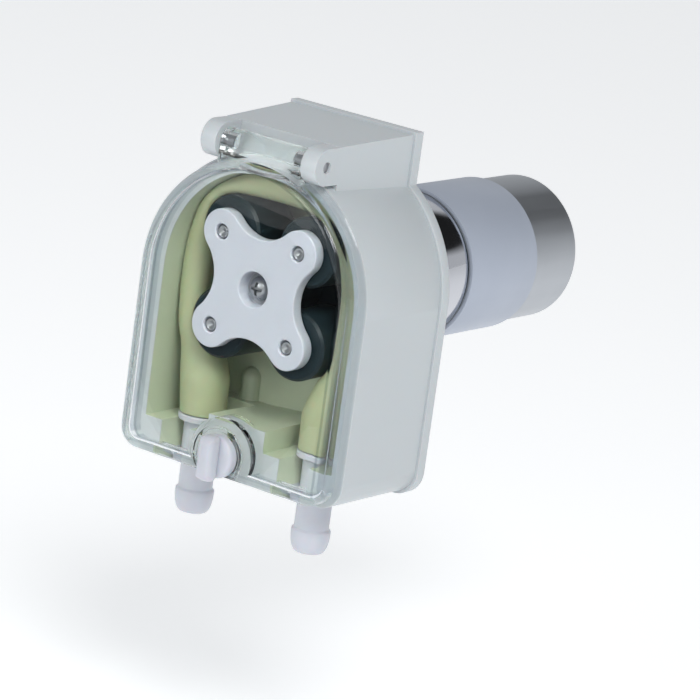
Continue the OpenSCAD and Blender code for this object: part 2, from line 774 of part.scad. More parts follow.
module armature_windings() color([0.72, 0.4, 0.2]) {
    for (y = [magnet_y - 0.5, magnet_y + magnet_len - 3]) ring_y(9.4, 3.4, y, y + 3.5);
    for (a = slot_angles)
        rod_y(winding_r, magnet_y, magnet_y + magnet_len - 1, slot_r * cos(a), slot_r * sin(a));
}

commutator_y = magnet_y + magnet_len + 1;
commutator_r = 4;
brush_gap_x = commutator_r + 0.15;

module commutator() color([0.75, 0.48, 0.25]) slab(commutator_y, commutator_y + 5) difference() {
    circle(commutator_r);
    circle(armature_shaft_r);
    for (a = slot_angles) rotate(a + 36) translate([2.6, -0.2]) square([3, 0.4]);
}

module brushes() color([0.22, 0.22, 0.23])
    for (side = [-1, 1]) translate([side > 0 ? brush_gap_x : -brush_gap_x - 5, commutator_y + 1, -1.5])
        cube([5, 3, 3]);

// ---------- what is drawn ----------

casing();
back_plate();
back_plate_screws();
panel_inserts();
front_cover();
hinge_pins();
latch_knob();
latch_cross_pin();
latch_clip();
rotor_front_plate();
rotor_back_plate();
for (i = [1 : roller_count]) {
    roller(i);
    roller_pin(i);
}
rotor_screw();
rotor_washer();
pump_tube();
fitting(-1);  // left_fitting
fitting(1);  // right_fitting
gearbox_screws();
gearbox_faceplate();
output_bearing();
gearbox_housing();
output_carrier();
first_stage_carrier();
for (i = [1 : 6]) planet_gear(i);
motor_adapter();
motor_can();
flux_ring();
motor_end_cap();
stator_magnets();
sun_gear();
armature_shaft();
armature_core();
armature_windings();
commutator();
brushes();
motor_terminals();
motor_bushes();
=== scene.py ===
import json
import math

import bmesh
import bpy
from mathutils import Matrix, Vector


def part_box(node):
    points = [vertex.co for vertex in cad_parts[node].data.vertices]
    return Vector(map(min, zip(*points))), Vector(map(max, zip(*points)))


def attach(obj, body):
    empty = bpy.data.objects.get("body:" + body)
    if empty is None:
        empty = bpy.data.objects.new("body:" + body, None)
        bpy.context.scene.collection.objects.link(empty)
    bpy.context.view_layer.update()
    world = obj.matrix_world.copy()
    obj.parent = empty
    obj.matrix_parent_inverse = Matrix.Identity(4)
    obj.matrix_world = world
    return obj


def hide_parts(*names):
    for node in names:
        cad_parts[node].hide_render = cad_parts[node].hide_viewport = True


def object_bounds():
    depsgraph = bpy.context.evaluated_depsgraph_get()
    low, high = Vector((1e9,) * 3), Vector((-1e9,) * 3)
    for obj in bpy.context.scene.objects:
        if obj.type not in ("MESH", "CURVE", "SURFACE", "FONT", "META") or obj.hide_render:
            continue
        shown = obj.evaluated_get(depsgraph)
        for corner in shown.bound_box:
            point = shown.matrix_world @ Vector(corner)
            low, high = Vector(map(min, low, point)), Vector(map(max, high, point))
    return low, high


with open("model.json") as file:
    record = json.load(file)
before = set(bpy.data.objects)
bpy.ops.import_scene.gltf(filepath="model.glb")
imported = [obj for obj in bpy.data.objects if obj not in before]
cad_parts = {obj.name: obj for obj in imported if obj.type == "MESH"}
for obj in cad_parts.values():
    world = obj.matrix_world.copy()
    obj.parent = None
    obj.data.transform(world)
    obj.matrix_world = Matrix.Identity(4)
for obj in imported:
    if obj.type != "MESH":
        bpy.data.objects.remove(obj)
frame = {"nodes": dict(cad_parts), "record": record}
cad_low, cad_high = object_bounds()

MM = 0.001
NODES = frame["nodes"]

# ---------- camera ----------

CAMERA_AZIMUTH = math.radians(35.08)
CAMERA_ELEVATION = math.radians(13.91)
CAMERA_ROLL = math.radians(7.905)
CAMERA_DISTANCE = 885.3 * MM
CAMERA_TARGET = Vector((22.8, -23.8, -9.0)) * MM
CAMERA_LENS = 205.7


def make_camera():
    """A long lens at three quarters, leaning so that the pump's top tips to the right."""
    az, el, roll = CAMERA_AZIMUTH, CAMERA_ELEVATION, CAMERA_ROLL
    back = Vector((math.sin(az) * math.cos(el), -math.cos(az) * math.cos(el), math.sin(el)))
    level = Vector((math.cos(az), math.sin(az), 0))
    rise = back.cross(level)
    right = level * math.cos(roll) + rise * math.sin(roll)
    up = back.cross(right)
    data = bpy.data.cameras.new("camera")
    data.lens = CAMERA_LENS
    data.sensor_width = 36
    data.clip_start = 0.01
    camera = bpy.data.objects.new("camera", data)
    bpy.context.scene.collection.objects.link(camera)
    turn = Matrix((right, up, back)).transposed().to_4x4()
    camera.matrix_world = Matrix.Translation(CAMERA_TARGET + back * CAMERA_DISTANCE) @ turn
    bpy.context.scene.camera = camera


# ---------- materials ----------

COVER_LOW, COVER_HIGH = (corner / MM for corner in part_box("front_cover"))
COVER_R = COVER_HIGH.x
COVER_DROP = -COVER_LOW.z

# Millimetres in from the clear cover's outline, for its rougher rim with painted shade, for the painted dark
# line on its inner wall, and for the fade of that painted shade above the drive axis
ROUGH_SHADED_RIM = (3.4, 2.4)
WALL_SHADE_LINE = (3.6, 3.4, 2.8, 3.0)
RIM_SHADE_FADE = (29, 25)
RIM_SHADE_FADE_LEFT = 0.15
RIM_ROUGHNESS = 0.12

# The pump chamber, where the casing is painted olive for the light bounced off the tube inside it
CHAMBER_LOW = (-26.4, -30.3, -43)
CHAMBER_HIGH = (26.4, -9.8, 26.4)
CHAMBER_R = 27
CHAMBER_BLUR = 0.1

WHITE = (1, 1, 1, 1)
EVEN = (1, 1, 1)
LENGTHWISE = (1, 0.05, 1)


def ramp_node(tree, source, from_low, from_high, to_low=0.0, to_high=1.0):
    """Maps one range of a value onto another, held at its ends."""
    made = tree.nodes.new("ShaderNodeMapRange")
    ends = {"From Min": from_low, "From Max": from_high, "To Min": to_low, "To Max": to_high}
    for key, value in ends.items():
        made.inputs[key].default_value = value
    tree.links.new(source, made.inputs["Value"])
    return made.outputs["Result"]


class Surface:
    """A Principled material whose colour, roughness and bump vary with noise in the object's own space."""

    def __init__(self, name, color, roughness, metallic=0.0, **sockets):
        self.name = name
        self.material = bpy.data.materials.new(name)
        self.material.use_nodes = True
        self.tree = self.material.node_tree
        self.shader = self.tree.nodes["Principled BSDF"]
        self.color = color
        self.shader.inputs["Base Color"].default_value = (*color, 1)
        self.shader.inputs["Roughness"].default_value = roughness
        self.shader.inputs["Metallic"].default_value = metallic
        for key, value in sockets.items():
            self.shader.inputs[key.replace("_", " ")].default_value = value
        self.place = self.node("ShaderNodeTexCoord").outputs["Object"]

    def node(self, kind, **settings):
        made = self.tree.nodes.new(kind)
        for key, value in settings.items():
            setattr(made, key, value)
        return made

    def link(self, source, target):
        self.tree.links.new(source, target)

    def ramp(self, source, from_low, from_high, to_low=0.0, to_high=1.0):
        return ramp_node(self.tree, source, from_low, from_high, to_low, to_high)

    def calculate(self, operation, first, second=0.0):
        """A Math node on two values, each a number or another node's output."""
        made = self.node("ShaderNodeMath", operation=operation)
        for socket, value in zip(made.inputs, (first, second)):
            if isinstance(value, (int, float)):
                socket.default_value = value
            else:
                self.link(value, socket)
        return made.outputs[0]

    def separate(self):
        """The place on the object as its X, Y and Z outputs."""
        parts = self.node("ShaderNodeSeparateXYZ")
        self.link(self.place, parts.inputs[0])
        return parts.outputs

    def blend(self, under, over, share):
        """Colours the shader with a mix of two colours, the first a colour or another node's output."""
        mix = self.node("ShaderNodeMix", data_type="RGBA")
        if isinstance(under, tuple):
            mix.inputs["A"].default_value = (*under, 1)
        else:
            self.link(under, mix.inputs["A"])
        mix.inputs["B"].default_value = (*over, 1)
        self.link(share, mix.inputs["Factor"])
        self.link(mix.outputs["Result"], self.shader.inputs["Base Color"])
        return mix.outputs["Result"]

    def noise(self, size_mm, stretch):
        """Noise whose features are about size_mm wide, drawn out along an axis by stretch."""
        mapping = self.node("ShaderNodeMapping")
        mapping.inputs["Scale"].default_value = stretch
        self.link(self.place, mapping.inputs["Vector"])
        made = self.node("ShaderNodeTexNoise")
        made.inputs["Scale"].default_value = 1 / (size_mm * MM)
        made.inputs["Detail"].default_value = 3
        self.link(mapping.outputs["Vector"], made.inputs["Vector"])
        return made.outputs["Fac"]

    def spread(self, size_mm, low, high, stretch=EVEN):
        """Noise that spans the range low to high."""
        return self.ramp(self.noise(size_mm, stretch), 0.3, 0.7, low, high)

    def vary_color(self, other, size_mm, amount=1.0):
        """Mottles the colour towards another one."""
        self.blend(self.color, other, self.spread(size_mm, 0, amount))
        return self

    def paint_light_inside(self, other, low_mm, high_mm, round_mm):
        """Blends to another colour inside a box in the object's own space, rounded above by a radius, to
        paint light there.
        """
        parts = self.separate()
        share = 1.0
        for axis, low, high in zip("XYZ", low_mm, high_mm):
            for edge, blur in ((low, CHAMBER_BLUR), (high, -CHAMBER_BLUR)):
                inside = self.ramp(parts[axis], (edge - blur) * MM, (edge + blur) * MM)
                share = self.calculate("MULTIPLY", inside, share)
        flat = self.node("ShaderNodeCombineXYZ")
        self.link(parts["X"], flat.inputs["X"])
        self.link(self.calculate("MAXIMUM", parts["Z"]), flat.inputs["Z"])
        length = self.node("ShaderNodeVectorMath", operation="LENGTH")
        self.link(flat.outputs[0], length.inputs[0])
        near = self.calculate("LESS_THAN", length.outputs["Value"], round_mm * MM)
        plain = self.shader.inputs["Base Color"].links[0].from_socket
        self.blend(plain, other, self.calculate("MULTIPLY", share, near))
        return self

    def vary_roughness(self, low, high, size_mm, stretch=EVEN):
        self.link(self.spread(size_mm, low, high, stretch), self.shader.inputs["Roughness"])
        return self

    def bump(self, size_mm, height_mm):
        made = self.node("ShaderNodeBump")
        made.inputs["Strength"].default_value = 1
        made.inputs["Distance"].default_value = height_mm * MM
        self.link(self.noise(size_mm, EVEN), made.inputs["Height"])
        self.link(made.outputs["Normal"], self.shader.inputs["Normal"])
        return self


def clear_plastic():
    """Clear moulding that lets the lamps through, rougher near its outline, with painted shade darkening that
    rim and a painted dark line along its inner wall.
    """
    clear_color = (0.95, 0.965, 0.96)
    made = Surface("clear_plastic", clear_color, 0.03, Transmission_Weight=1.0, IOR=1.4)
    parts = made.separate()
    above = made.calculate("MAXIMUM", parts["Z"])
    square = made.calculate("ADD", made.calculate("MULTIPLY", parts["X"], parts["X"]),
                            made.calculate("MULTIPLY", above, above))
    from_side = made.calculate("SUBTRACT", COVER_R * MM, made.calculate("SQRT", square))
    from_foot = made.calculate("ADD", parts["Z"], COVER_DROP * MM)
    inset = made.calculate("MINIMUM", from_side, from_foot)
    rim = made.ramp(inset, *(edge * MM for edge in ROUGH_SHADED_RIM))
    below = made.ramp(parts["Z"], *(edge * MM for edge in RIM_SHADE_FADE), RIM_SHADE_FADE_LEFT)
    made.link(made.ramp(rim, 0, 1, 0, RIM_ROUGHNESS), made.shader.inputs["Roughness"])
    # Painted shade: the rim's colour is darkened to blue grey, less so high on the arch; only its greater
    # roughness is real.
    rim_shaded = made.blend(clear_color, (0.7, 0.735, 0.78), made.calculate("MULTIPLY", rim, below))
    # Painted shade: a thin dark line along the inner wall's edge, where the clear moulding would show dark
    # surroundings.
    inner_off, inner_on, outer_off, outer_on = (edge * MM for edge in WALL_SHADE_LINE)
    wall = made.calculate("MULTIPLY", made.ramp(inset, inner_off, inner_on),
                          made.ramp(inset, outer_off, outer_on))
    made.blend(rim_shaded, (0.5, 0.55, 0.6), made.calculate("MULTIPLY", wall, below))
    lit = made.node("ShaderNodeBsdfTransparent")
    lit.inputs["Color"].default_value = (0.95, 0.97, 0.93, 1)
    either = made.node("ShaderNodeMixShader")
    made.link(made.node("ShaderNodeLightPath").outputs["Is Shadow Ray"], either.inputs[0])
    made.link(made.shader.outputs[0], either.inputs[1])
    made.link(lit.outputs[0], either.inputs[2])
    made.link(either.outputs[0], made.tree.nodes["Material Output"].inputs["Surface"])
    return made


def make_materials():
    """One material for each of the record's slots."""
    made = [
        Surface("casing_plastic", (0.51, 0.545, 0.565), 0.34, Specular_IOR_Level=0.35,
                Subsurface_Weight=0.08, Subsurface_Scale=2 * MM)
        .vary_color((0.495, 0.53, 0.545), 40, 0.6)
        # Painted light: the casing inside the chamber turns olive for the bounce off the tube.
        .paint_light_inside((0.5, 0.555, 0.42), CHAMBER_LOW, CHAMBER_HIGH, CHAMBER_R),
        clear_plastic(),
        Surface("white_nylon", (0.52, 0.54, 0.6), 0.36, Subsurface_Weight=0.25, Subsurface_Scale=2 * MM)
        .vary_color((0.49, 0.51, 0.56), 9, 0.5),
        Surface("rotor_plastic", (0.56, 0.58, 0.66), 0.3, Subsurface_Weight=0.08, Subsurface_Scale=1 * MM)
        .vary_color((0.53, 0.55, 0.63), 14, 0.5),
        Surface("black_plastic", (0.009, 0.019, 0.025), 0.4, Specular_IOR_Level=0.25)
        .vary_color((0.012, 0.024, 0.031), 12).vary_roughness(0.37, 0.44, 9),
        Surface("tube_rubber", (0.42, 0.455, 0.285), 0.42, Subsurface_Weight=0.3, Subsurface_Scale=3 * MM)
        .vary_color((0.385, 0.43, 0.262), 12, 0.6).vary_roughness(0.38, 0.48, 8),
        Surface("steel", (0.4, 0.41, 0.43), 0.3, 1)
        .vary_color((0.34, 0.35, 0.37), 3).vary_roughness(0.27, 0.35, 2, LENGTHWISE),
        Surface("bright_metal", (0.6, 0.61, 0.65), 0.1, 1)
        .vary_color((0.54, 0.55, 0.59), 20, 0.6).vary_roughness(0.07, 0.12, 3, LENGTHWISE),
        Surface("plated_steel", (0.5, 0.52, 0.55), 0.44, 1)
        .vary_color((0.46, 0.48, 0.51), 14, 0.6).vary_roughness(0.4, 0.48, 3, LENGTHWISE),
        Surface("satin_metal", (0.42, 0.46, 0.54), 0.42, 0.15)
        .vary_color((0.39, 0.43, 0.51), 12, 0.7).vary_roughness(0.38, 0.46, 4, LENGTHWISE),
        Surface("brass", (0.6, 0.42, 0.16), 0.28, 1)
        .vary_color((0.45, 0.3, 0.1), 2).vary_roughness(0.2, 0.4, 1.5),
        Surface("bronze", (0.35, 0.22, 0.1), 0.5, 1).vary_color((0.28, 0.17, 0.08), 0.5).bump(0.3, 0.01),
        Surface("copper", (0.5, 0.18, 0.07), 0.3, 0.8).vary_color((0.36, 0.12, 0.04), 1).bump(0.4, 0.05),
        Surface("gear_plastic", (0.65, 0.65, 0.55), 0.45).vary_color((0.58, 0.58, 0.48), 3).bump(0.5, 0.01),
        Surface("magnet", (0.05, 0.05, 0.055), 0.6, 0.3)
        .vary_color((0.08, 0.08, 0.085), 1).bump(0.4, 0.02),
    ]
    return {surface.name: surface.material for surface in made}


def dress(piece, material):
    piece.data.materials.clear()
    piece.data.materials.append(material)


# ---------- light and floor ----------

FLOOR_DROP = 60 * MM
FLOOR_HALF = 40
FLOOR_GLOW = 0.38
CARD_RISE = 1 * MM
CARD_LOW, CARD_HIGH = (-0.9, -0.9), (0.0, -0.22)
ROOM_TINT = (0.95, 0.975, 1, 1)
SWEEP_GLOW = 0.62
ROOM_GLOW = 0.43
SWEEP_TOP = 0.45
SWEEP_BLUR = 0.04
DARK_SPOT = (0.2, 0.8, 0.56)
SPOT_INNER = 0.36
SPOT_OUTER = 0.46
SPOT_GLOW = 0.03


def area_light(name, place, size, power):
    """A round lamp that faces the pump."""
    data = bpy.data.lights.new(name, "AREA")
    data.shape = "DISK"
    data.size = size
    data.energy = power
    lamp = bpy.data.objects.new(name, data)
    bpy.context.scene.collection.objects.link(lamp)
    lamp.location = place
    lamp.rotation_euler = (-Vector(place)).to_track_quat("-Z", "Y").to_euler()


def make_world():
    """A pale sweep below SWEEP_TOP, a dimmer room above it, and one dark spot behind."""
    world = bpy.data.worlds.new("studio")
    bpy.context.scene.world = world
    world.use_nodes = True
    tree = world.node_tree
    direction = tree.nodes.new("ShaderNodeTexCoord").outputs["Generated"]
    parts = tree.nodes.new("ShaderNodeSeparateXYZ")
    tree.links.new(direction, parts.inputs[0])
    glow = ramp_node(tree, parts.outputs["Z"], SWEEP_TOP - SWEEP_BLUR, SWEEP_TOP + SWEEP_BLUR,
                     SWEEP_GLOW, ROOM_GLOW)
    away = tree.nodes.new("ShaderNodeVectorMath")
    away.operation = "DISTANCE"
    tree.links.new(direction, away.inputs[0])
    away.inputs[1].default_value = DARK_SPOT
    dim = tree.nodes.new("ShaderNodeMath")
    dim.operation = "MULTIPLY"
    tree.links.new(glow, dim.inputs[0])
    spot = ramp_node(tree, away.outputs["Value"], SPOT_INNER, SPOT_OUTER, SPOT_GLOW, 1)
    tree.links.new(spot, dim.inputs[1])
    background = tree.nodes["Background"]
    background.inputs["Color"].default_value = ROOM_TINT
    tree.links.new(dim.outputs[0], background.inputs["Strength"])


def flat_sheet(name, low, high, z):
    mesh = bpy.data.meshes.new(name)
    (x0, y0), (x1, y1) = low, high
    mesh.from_pydata([(x0, y0, z), (x1, y0, z), (x1, y1, z), (x0, y1, z)], [], [(0, 1, 2, 3)])
    sheet = bpy.data.objects.new(name, mesh)
    bpy.context.scene.collection.objects.link(sheet)
    return sheet


def make_studio():
    """Room, lamps, floor, and a dark card that only reflections and clear plastic show."""
    make_world()
    area_light("key", (0.74, -0.68, 0.9), 0.5, 8.4)
    area_light("fill", (-0.2, -1.2, 0.5), 0.6, 3)
    bpy.context.scene.view_settings.view_transform = "Standard"
    level = cad_low.z - FLOOR_DROP
    floor = flat_sheet("floor", (-FLOOR_HALF, -FLOOR_HALF), (FLOOR_HALF, FLOOR_HALF), level)
    paint = Surface("floor_paint", (0.93, 0.94, 0.95), 0.8,
                    Emission_Color=WHITE, Emission_Strength=FLOOR_GLOW)
    dress(floor, paint.material)
    card = flat_sheet("dark_card", CARD_LOW, CARD_HIGH, level + CARD_RISE)
    card.visible_camera = card.visible_diffuse = card.visible_shadow = False
    dress(card, Surface("card_cloth", (0.004, 0.005, 0.006), 0.9).material)


# ---------- mesh building ----------

WELD = 0.002
WELD_FINE = 0.0001
FLAT_ANGLE = math.radians(0.5)
SHARP_ANGLE = math.radians(35)


def grid_faces(rows, columns, first=0, flip=False):
    """Quads between rows of a closed ring of columns points."""
    faces = []
    for j in range(rows - 1):
        for i in range(columns):
            k = (i + 1) % columns
            quad = [first + j * columns + i, first + j * columns + k,
                    first + (j + 1) * columns + k, first + (j + 1) * columns + i]
            faces.append(quad[::-1] if flip else quad)
    return faces


def mesh_object(name, points_mm, faces):
    """A new object from points in millimetres in the row frame, with its faces turned outward."""
    mesh = bpy.data.meshes.new(name)
    mesh.from_pydata([Vector(point) * MM for point in points_mm], [], faces)
    shape = bmesh.new()
    shape.from_mesh(mesh)
    bmesh.ops.remove_doubles(shape, verts=shape.verts, dist=WELD_FINE * MM)
    bmesh.ops.recalc_face_normals(shape, faces=shape.faces)
    shape.to_mesh(mesh)
    shape.free()
    made = bpy.data.objects.new(name, mesh)
    bpy.context.scene.collection.objects.link(made)
    return made


def finish_piece(piece, body, node, smooth_angle=40):
    """Smooths the faces between sharp edges, and puts the piece in place of its CAD node."""
    shape = bmesh.new()
    shape.from_mesh(piece.data)
    for face in shape.faces:
        face.smooth = True
    for edge in shape.edges:
        edge.smooth = len(edge.link_faces) == 2 and edge.calc_face_angle() < math.radians(smooth_angle)
    shape.to_mesh(piece.data)
    shape.free()
    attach(piece, body)
    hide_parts(node)
    dress(piece, MATERIALS[SLOT_OF[node]])
    return piece


def soften_edges(piece, width_mm):
    """Joins the flat triangles of the tessellated solid into faces, and rounds its sharp edges."""
    weld = piece.modifiers.new("weld", "WELD")
    weld.merge_threshold = WELD * MM
    flat = piece.modifiers.new("flat", "DECIMATE")
    flat.decimate_type = "DISSOLVE"
    flat.angle_limit = FLAT_ANGLE
    bevel = piece.modifiers.new("round", "BEVEL")
    bevel.width = width_mm * MM
    bevel.segments = 3
    bevel.limit_method = "ANGLE"
    bevel.angle_limit = SHARP_ANGLE
    bevel.harden_normals = True
    bevel.use_clamp_overlap = True


# ---------- pump tube ----------

TUBE_R = 4.5
TUBE_WALL = 1.5
TUBE_Y = -21.0
TUBE_OUTER = 26.05
ROLLER_R = 8.0
PIN_CIRCLE = 15.2
ROLLER_GAP = 0.15
PIN_HALF = PIN_CIRCLE * math.cos(math.radians(45))
STRAIGHT = PIN_HALF + ROLLER_R
TANGENT = math.atan2(PIN_HALF, STRAIGHT)
LEAN_TOP = -2.0
LEAN_END = -26.0
STRETCHED_R = 5.4
FITTING_X = 17.0
SQUEEZED = TUBE_OUTER - STRAIGHT - ROLLER_GAP
TUBE_SIDES = 32
LEG_STEPS = 40
ARC_STEPS = 160
LEAST_BORE = (0.15, 0.6)


def tube_section(thick, wide):
    """A flattened round, thick across the squeeze and wide along the drive axis."""
    r, flat = thick / 2, max(wide - thick, 0) / 2
    points = []
    for i in range(TUBE_SIDES):
        a = math.tau * (i + 0.5) / TUBE_SIDES
        points.append((r * math.cos(a), r * math.sin(a) + math.copysign(flat, math.sin(a))))
    return points


def width_for(thick):
    """Width that keeps the tube's girth when it is squeezed to this thickness."""
    return max(thick, thick + math.pi * (2 * TUBE_R - thick) / 2)


def arc_station(angle):
    """X, Z, angle, thickness and width of the tube over the rotor, at an angle round the raceway."""
    quarter = math.radians(angle - 90 * round(angle / 90))
    if abs(quarter) < TANGENT:
        inner = STRAIGHT / math.cos(quarter)
    else:
        off = math.radians(45) - abs(quarter)
        inner = PIN_CIRCLE * math.cos(off) + math.sqrt(ROLLER_R ** 2 - (PIN_CIRCLE * math.sin(off)) ** 2)
    thick = TUBE_OUTER - inner - ROLLER_GAP
    a = math.radians(angle)
    middle = TUBE_OUTER - thick / 2
    return middle * math.cos(a), middle * math.sin(a), angle, thick, width_for(thick)


def leg_station(share, foot):
    """The same for the right leg, from the raceway down to its fitting, with a nearly straight outer edge."""
    z = share * foot
    lean = min(1, max(0, (z - LEAN_TOP) / (LEAN_END - LEAN_TOP)))
    top = (TUBE_OUTER + STRAIGHT + ROLLER_GAP) / 2
    middle = top + (FITTING_X - top) * lean * lean * (3 - 2 * lean)
    inner = STRAIGHT + ROLLER_GAP
    if z < -PIN_HALF:
        below = max(ROLLER_R ** 2 - (z + PIN_HALF) ** 2, 0)
        beside = PIN_HALF + math.sqrt(below) + ROLLER_GAP if below else 0
        inner = max(middle - STRETCHED_R * lean, beside)
    settle = min(1, max(0, (z + PIN_HALF / 2) / (foot + PIN_HALF / 2)))
    outer = TUBE_OUTER + (FITTING_X + STRETCHED_R - TUBE_OUTER) * settle
    wide = width_for(SQUEEZED)
    return (outer + inner) / 2, z, 0, outer - inner, wide + (2 * STRETCHED_R - wide) * settle


def make_tube():
    """One soft tube: up the right leg, squeezed over the rollers, and down the left leg."""
    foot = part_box("pump_tube")[0].z / MM
    leg = [leg_station(1 - i / LEG_STEPS, foot) for i in range(LEG_STEPS)]
    arc = [arc_station(180 * i / ARC_STEPS) for i in range(ARC_STEPS + 1)]
    stations = leg + arc + [(-x, z, 180, thick, wide) for x, z, _, thick, wide in reversed(leg)]
    outer, inner = [], []
    for x, z, angle, thick, wide in stations:
        a = math.radians(angle)
        bore = [max(size - 2 * TUBE_WALL, least) for size, least in zip((thick, wide), LEAST_BORE)]
        for points, size in ((outer, (thick, wide)), (inner, bore)):
            for p, q in tube_section(*size):
                points.append((x + p * math.cos(a), TUBE_Y + q, z + p * math.sin(a)))
    rows, deep = len(stations), len(outer)
    faces = grid_faces(rows, TUBE_SIDES) + grid_faces(rows, TUBE_SIDES, deep, True)
    for first in (0, (rows - 1) * TUBE_SIDES):
        for i in range(TUBE_SIDES):
            k = (i + 1) % TUBE_SIDES
            faces.append([first + i, first + k, deep + first + k, deep + first + i])
    finish_piece(mesh_object("soft_tube", outer + inner, faces), "casing", "pump_tube", 60)


# ---------- solid shapes ----------

ARCH_STEPS = 96
CORNER_STEPS = 12
LEAST_CORNER = 0.4


def arch_outline(r, drop, corner):
    """An arch on a rounded rectangle, as points in X and Z, round its top from the right."""
    points = []
    for i in range(ARCH_STEPS + 1):
        a = math.pi * i / ARCH_STEPS
        points.append((r * math.cos(a), r * math.sin(a)))
    for centre, start in ((corner - r, math.pi), (r - corner, 1.5 * math.pi)):
        for i in range(CORNER_STEPS + 1):
            a = start + math.pi / 2 * i / CORNER_STEPS
            points.append((centre + corner * math.cos(a), corner - drop + corner * math.sin(a)))
    return points


def closed_solid(name, rings, hollow=False):
    """An object through rings of points in millimetres, closed at both ends or back to its first ring."""
    columns = len(rings[0])
    if hollow:
        rings = rings + rings[:1]
    faces = grid_faces(len(rings), columns)
    if not hollow:
        last = (len(rings) - 1) * columns
        faces += [list(range(columns)), [last + i for i in range(columns)]]
    return mesh_object(name, [point for ring in rings for point in ring], faces)


def arch_rings(profile):
    """Rings of the cover's outline, one for each (inset, y) of the profile."""
    rings = []
    for inset, y in profile:
        corner = max(COVER_CORNER - inset, LEAST_CORNER)
        outline = arch_outline(COVER_R - inset, COVER_DROP - inset, corner)
        rings.append([(x, y, z) for x, z in outline])
    return rings


def lathe(axis, name, profile, centre=(0.0, 0.0), steps=96, hollow=False):
    """A solid turned about a line along an axis, through (radius, distance along the axis) points."""
    rings = []
    for r, along in profile:
        ring = []
        for i in range(steps):
            a = math.tau * i / steps
            point = [centre[0] + r * math.cos(a), centre[1] + r * math.sin(a)]
            point.insert("XYZ".index(axis), along)
            ring.append(point)
        rings.append(ring)
    return closed_solid(name, rings, hollow)


def block(name, low, high, rounding):
    """A box with rounded edges."""
    (x0, y0, z0), (x1, y1, z1) = low, high
    ring = [(x0, z0), (x1, z0), (x1, z1), (x0, z1)]
    solid = closed_solid(name, [[(x, y, z) for x, z in ring] for y in (y0, y1)])
    bevel = solid.modifiers.new("round", "BEVEL")
    bevel.width = rounding * MM
    bevel.segments = 4
    return solid


def carve(base, steps):
    """Joins, cuts or clips base with each (operation, solid), and leaves one plain mesh."""
    for operation, tool in steps:
        change = base.modifiers.new(operation, "BOOLEAN")
        change.operation = operation
        change.solver = "EXACT"
        change.object = tool
    bpy.context.view_layer.update()
    made = bpy.data.meshes.new_from_object(base.evaluated_get(bpy.context.evaluated_depsgraph_get()))
    base.modifiers.clear()
    base.data = made
    for _, tool in steps:
        bpy.data.objects.remove(tool)


# ---------- clear cover ----------

COVER_CORNER = 6.0
COVER_WALL = 2.0
COVER_FILLET = 2.4
LIP_DEPTH = 1.4
LIP_STEP = 0.9
HINGE_Y = -32.5
HINGE_Z = 31.6
BARREL_R = 3.2
BARREL_HALF = 11.7
EAR_ROOM_R = 4.8
EAR_END = 17.2
PIN_BORE_R = 1.35
PIN_BORE = (8.3, 14)
TAB_FOOT = 26.5
LATCH_Z = -38.0
LATCH_AXIS = (0.0, LATCH_Z)
HINGE_AXIS = (HINGE_Y, HINGE_Z)


def fillet(inset, y, radius, steps=6):
    """(inset, y) points round the front edge, from the side to the face."""
    return [(inset + radius * (1 - math.cos(math.pi / 2 * i / steps)),
             y + radius * (1 - math.sin(math.pi / 2 * i / steps))) for i in range(steps + 1)]


def make_cover():
    """The clear shell with its lip, latch boss, tab and hinge barrel."""
    front, back, half = COVER_LOW.y, COVER_HIGH.y, BARREL_HALF
    outer = fillet(LIP_STEP + 0.1, front, COVER_FILLET)[::-1]
    lip = [(LIP_STEP, back - LIP_DEPTH - 0.1), (0.25, back - LIP_DEPTH), (0, back - LIP_DEPTH + 0.25),
           (0, back - 0.3), (0.25, back)]
    wall = LIP_STEP + COVER_WALL
    inner = [(wall - 0.2, back), (wall, back - 0.3)] + fillet(wall + 0.1, front + COVER_WALL, 1.1, 5)
    cover = closed_solid("clear_cover", arch_rings(outer + lip + inner))
    boss = lathe("Y", "boss", [
        (8.2, front + 1), (8.6, front + 1.6), (8.6, back - 0.4), (8.3, back)], LATCH_AXIS)
    carve(boss, [("INTERSECT", closed_solid("clip", arch_rings([(1.4, front), (1.4, back + 1)])))])
    tab = block("tab", (-half, HINGE_Y - BARREL_R, TAB_FOOT), (half, HINGE_Y - 0.6, HINGE_Z), 0.5)
    barrel = lathe("X", "barrel", [(BARREL_R - 0.4, -half), (BARREL_R, 0.4 - half),
                                   (BARREL_R, half - 0.4), (BARREL_R - 0.4, half)], HINGE_AXIS, 64)
    seat = lathe("Y", "seat", [
        (6.9, front - 1), (6.9, front + 0.5), (6.3, front + 0.5), (6.1, front + 0.8), (5.4, front + 0.8),
        (5.4, front + 1.2), (2.45, front + 1.2), (2.45, back + 1)], LATCH_AXIS)
    clip_room = lathe("Y", "clip_room", [(4.6, back - 1.2), (4.6, back + 1)], LATCH_AXIS)
    steps = [("UNION", boss), ("UNION", tab), ("UNION", barrel),
             ("DIFFERENCE", seat), ("DIFFERENCE", clip_room)]
    for side in (-1, 1):
        for name, r, ends in (("ear_room", EAR_ROOM_R, (half, EAR_END)), ("bore", PIN_BORE_R, PIN_BORE)):
            profile = [(r, side * end) for end in ends]
            steps.append(("DIFFERENCE", lathe("X", name, profile, HINGE_AXIS, 64)))
    carve(cover, steps)
    finish_piece(cover, "cover", "front_cover", 30)


# ---------- knob, fittings, pins and screw ----------

KNOB_R = 5.0
STEM_R = 2.4
STEM_END = -24.8
CROSS_HOLE_R = 0.8
CROSS_HOLE_Y = -26.4
POCKET_FLOOR = -36.0
BARB_TIP = -58.0
BORE_R = 2.2
ROTOR_FRONT = -31.0
PIN_R = 1.75
PIN_END = -11.8
SCREW_R = 1.5
SCREW_END = -17.0


